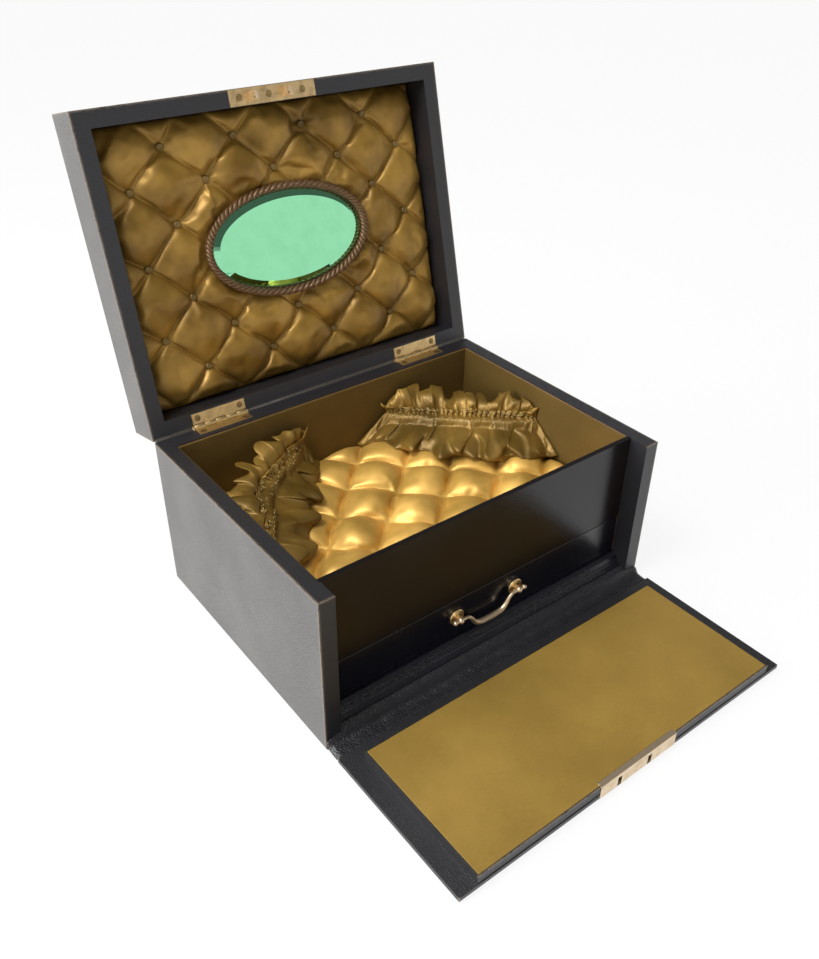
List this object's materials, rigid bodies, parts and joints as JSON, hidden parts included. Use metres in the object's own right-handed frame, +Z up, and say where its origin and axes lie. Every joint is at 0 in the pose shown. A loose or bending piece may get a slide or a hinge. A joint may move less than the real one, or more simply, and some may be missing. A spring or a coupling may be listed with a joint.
{
  "type": "vanity box with mirror",
  "caption": "Leather-covered vanity and jewellery box with a mirrored, buttoned lid, a silk-lined compartment with gathered pockets, a drawer and a fall front.",
  "frame": {"origin": "middle of the case's underside", "axes": "+X to the right seen from the front, +Y to the back, +Z up"},
  "size_m": [0.26, 0.387, 0.3033],
  "materials": {
    "black_leather": "fine straight-grained hide, worn brownish at the edges",
    "grain_leather": "pebbled hide, slightly glossy",
    "gold_silk": "watered gold silk, sheen along the weave",
    "gold_satin": "padded gold satin with soft sheen",
    "box_wood": "plain sawn, unfinished",
    "drawer_wood": "planed, waxed",
    "brass": "lacquered, softly tarnished",
    "bright_brass": "polished",
    "lock_steel": "dull",
    "button_cloth": "bronze-coloured cloth over a mould",
    "rope_braid": "twisted bronze cord",
    "mirror_glass": "silvered plate with a bevelled edge",
    "card": "plain"
  },
  "bodies": {
    "case": {"base_cover": "black_leather", "base_board": "box_wood", "drawer_bed": "box_wood", "sill_rail": "black_leather", "left_side_board": "box_wood", "right_side_board": "box_wood", "back_board": "box_wood", "front_panel_board": "box_wood", "compartment_floor": "box_wood", "case_leather": "black_leather", "front_panel_leather": "black_leather", "front_lining": "gold_silk", "back_lining": "gold_silk", "left_lining": "gold_silk", "right_lining": "gold_silk", "floor_pad": "gold_satin", "left_pouch": "gold_satin", "right_pouch": "gold_satin", "left_hinge_case_leaf": "brass", "right_hinge_case_leaf": "brass", "case_hinge_screws": "brass", "hinge_pins": "brass", "leather_hinge": "grain_leather"},
    "lid": {"lid_front_rail": "box_wood", "lid_back_rail": "box_wood", "lid_left_rail": "box_wood", "lid_right_rail": "box_wood", "lid_board": "box_wood", "lid_leather": "black_leather", "lid_quilt": "gold_satin", "quilt_buttons": "button_cloth", "mirror_glass": "mirror_glass", "mirror_card": "card", "mirror_rope": "rope_braid", "strike_plate": "bright_brass", "strike_staples": "bright_brass", "strike_screws": "brass", "left_hinge_lid_leaf": "brass", "right_hinge_lid_leaf": "brass", "lid_hinge_screws": "brass"},
    "fall_front": {"flap_board": "box_wood", "plinth_board": "box_wood", "flap_leather": "black_leather", "silk_panel": "gold_silk", "lock_plate": "bright_brass", "lock_case": "lock_steel", "escutcheon": "brass"},
    "bolt": {"lock_bolt": "lock_steel"},
    "drawer": {"drawer_front": "drawer_wood", "drawer_front_leather": "black_leather", "drawer_left_side": "drawer_wood", "drawer_right_side": "drawer_wood", "drawer_back": "drawer_wood", "drawer_bottom": "drawer_wood", "drawer_lining": "gold_silk", "handle_rosettes": "brass", "handle_posts": "bright_brass"},
    "bail": {"drawer_bail": "bright_brass"}
  },
  "joints": [
    {"name": "lid_hinge", "type": "hinge", "parent": "case", "child": "lid", "pos_m": [0, 0.096, 0.1112], "axis": [-1, 0, 0], "range_deg": [-103.5, 0]},
    {"name": "fall_front_hinge", "type": "hinge", "parent": "case", "child": "fall_front", "pos_m": [0, -0.1019, 0], "axis": [1, 0, 0], "range_deg": [-90, 0], "deforming": ["leather_hinge"]},
    {"name": "drawer_slide", "type": "slide", "parent": "case", "child": "drawer", "axis": [0, -1, 0], "range_m": [0, 0.13]},
    {"name": "bail_swing", "type": "hinge", "parent": "drawer", "child": "bail", "pos_m": [0, -0.087, 0.035], "axis": [-1, 0, 0], "range_deg": [0, 100]},
    {"name": "bolt_slide", "type": "slide", "parent": "fall_front", "child": "bolt", "axis": [1, 0, 0], "range_m": [0, 0.004]}
  ]
}
